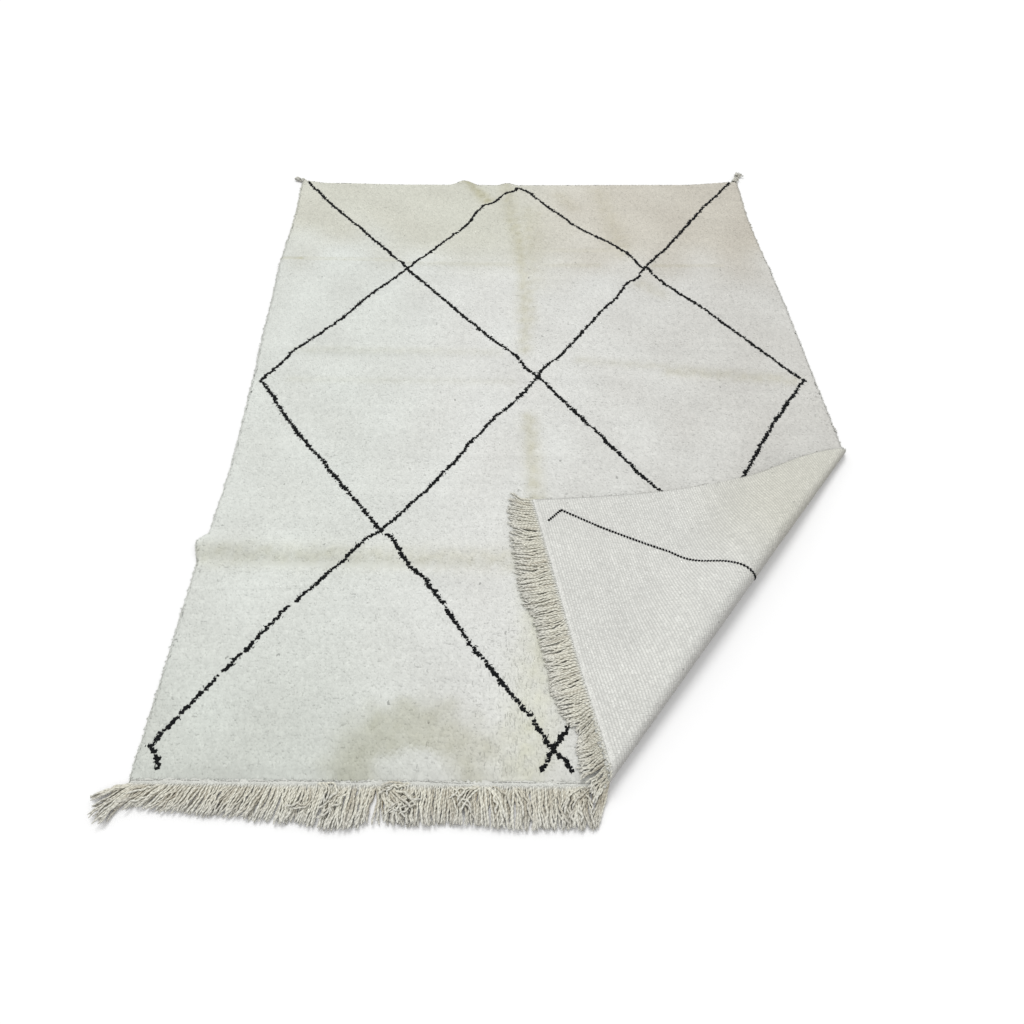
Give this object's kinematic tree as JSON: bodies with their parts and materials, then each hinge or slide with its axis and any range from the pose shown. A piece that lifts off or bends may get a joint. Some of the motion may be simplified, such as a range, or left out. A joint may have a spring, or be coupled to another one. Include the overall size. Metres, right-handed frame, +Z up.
{
  "type": "beni ourain rug",
  "caption": "Hand-knotted wool rug with a dark diamond lattice on cream pile, a fringe at one end and tasselled corners, lying flat with one corner folded back.",
  "frame": {"origin": "middle of the cloth as it was cut, on the surface that the rug lies on", "axes": "+X across the rug, +Y along it and away from the fringed end, +Z up"},
  "size_m": [1.8157, 2.4832, 0.0746],
  "materials": {
    "wool": "cream wool pile with a dark lattice, matt",
    "yarn": "undyed plied wool yarn, matt"
  },
  "bodies": {
    "root": {"rug": "wool", "fringe_front": "yarn", "fringe_folded": "yarn", "tassel_far_left": "yarn", "tassel_far_right": "yarn"}
  },
  "joints": []
}
